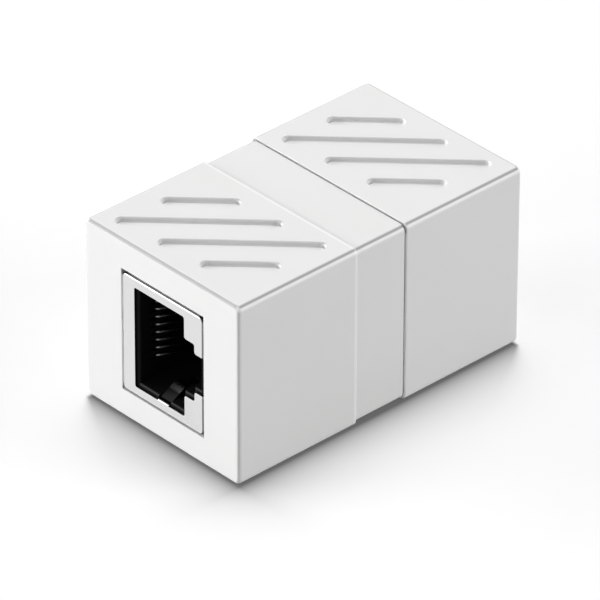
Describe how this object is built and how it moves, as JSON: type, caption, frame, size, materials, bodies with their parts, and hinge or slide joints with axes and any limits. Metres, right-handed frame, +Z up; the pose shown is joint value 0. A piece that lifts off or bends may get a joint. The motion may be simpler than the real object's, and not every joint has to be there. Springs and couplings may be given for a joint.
{
  "type": "rj45 inline coupler",
  "caption": "Rectangular inline coupler that joins shielded modular plugs end to end, with diagonal grip grooves and a recessed middle band.",
  "frame": {"origin": "middle of the base, on the surface that the coupler stands on", "axes": "+Y along the coupler, away from the pictured jack; +Z up; +X towards the plug latch of the pictured jack"},
  "size_m": [0.0252, 0.0426, 0.0232],
  "materials": {
    "shell": "white moulded plastic, fine satin",
    "shield": "nickel-plated sheet, satin",
    "housing": "black moulded plastic",
    "insert": "black moulded plastic",
    "contact": "plated spring wire",
    "board": "green board"
  },
  "bodies": {
    "root": {"circuit_board": "board", "front_shell": "shell", "front_shield": "shield", "front_jack_housing": "housing", "front_contact_insert": "insert", "front_contact_1": "contact", "front_contact_2": "contact", "front_contact_3": "contact", "front_contact_4": "contact", "front_contact_5": "contact", "front_contact_6": "contact", "front_contact_7": "contact", "front_contact_8": "contact", "rear_shell": "shell", "rear_shield": "shield", "rear_jack_housing": "housing", "rear_contact_insert": "insert", "rear_contact_1": "contact", "rear_contact_2": "contact", "rear_contact_3": "contact", "rear_contact_4": "contact", "rear_contact_5": "contact", "rear_contact_6": "contact", "rear_contact_7": "contact", "rear_contact_8": "contact"}
  },
  "joints": []
}
